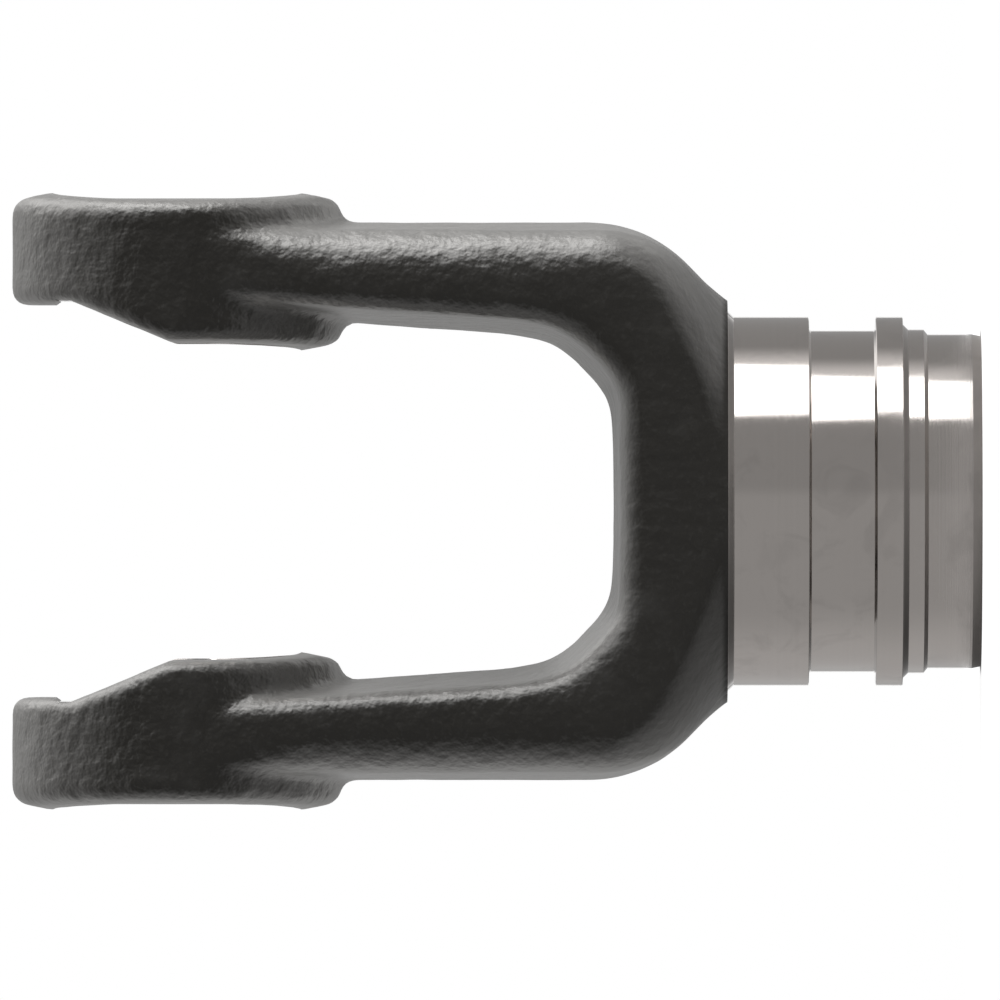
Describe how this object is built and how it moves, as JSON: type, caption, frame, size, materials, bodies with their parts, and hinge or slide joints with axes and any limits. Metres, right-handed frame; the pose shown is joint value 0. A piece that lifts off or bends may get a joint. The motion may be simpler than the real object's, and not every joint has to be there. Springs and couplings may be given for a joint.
{
  "type": "forged yoke",
  "caption": "Forged fork of a driveline joint: bored eyes carry the bearings of a cross, and a turned butt with a weld groove and a pilot takes the tube.",
  "frame": {"origin": "centre of the joint, where the axis of the cross bore meets the axis of the butt", "axes": "+X along the cross bore, +Z along the butt's axis towards the open end of the fork, +Y across the fork; the forging's parting plane is XZ"},
  "size_m": [0.1488, 0.0962, 0.2334],
  "materials": {
    "forged_steel": "black forging scale, bright where turned and bored"
  },
  "bodies": {
    "root": {"forged_yoke": "forged_steel"}
  },
  "joints": []
}
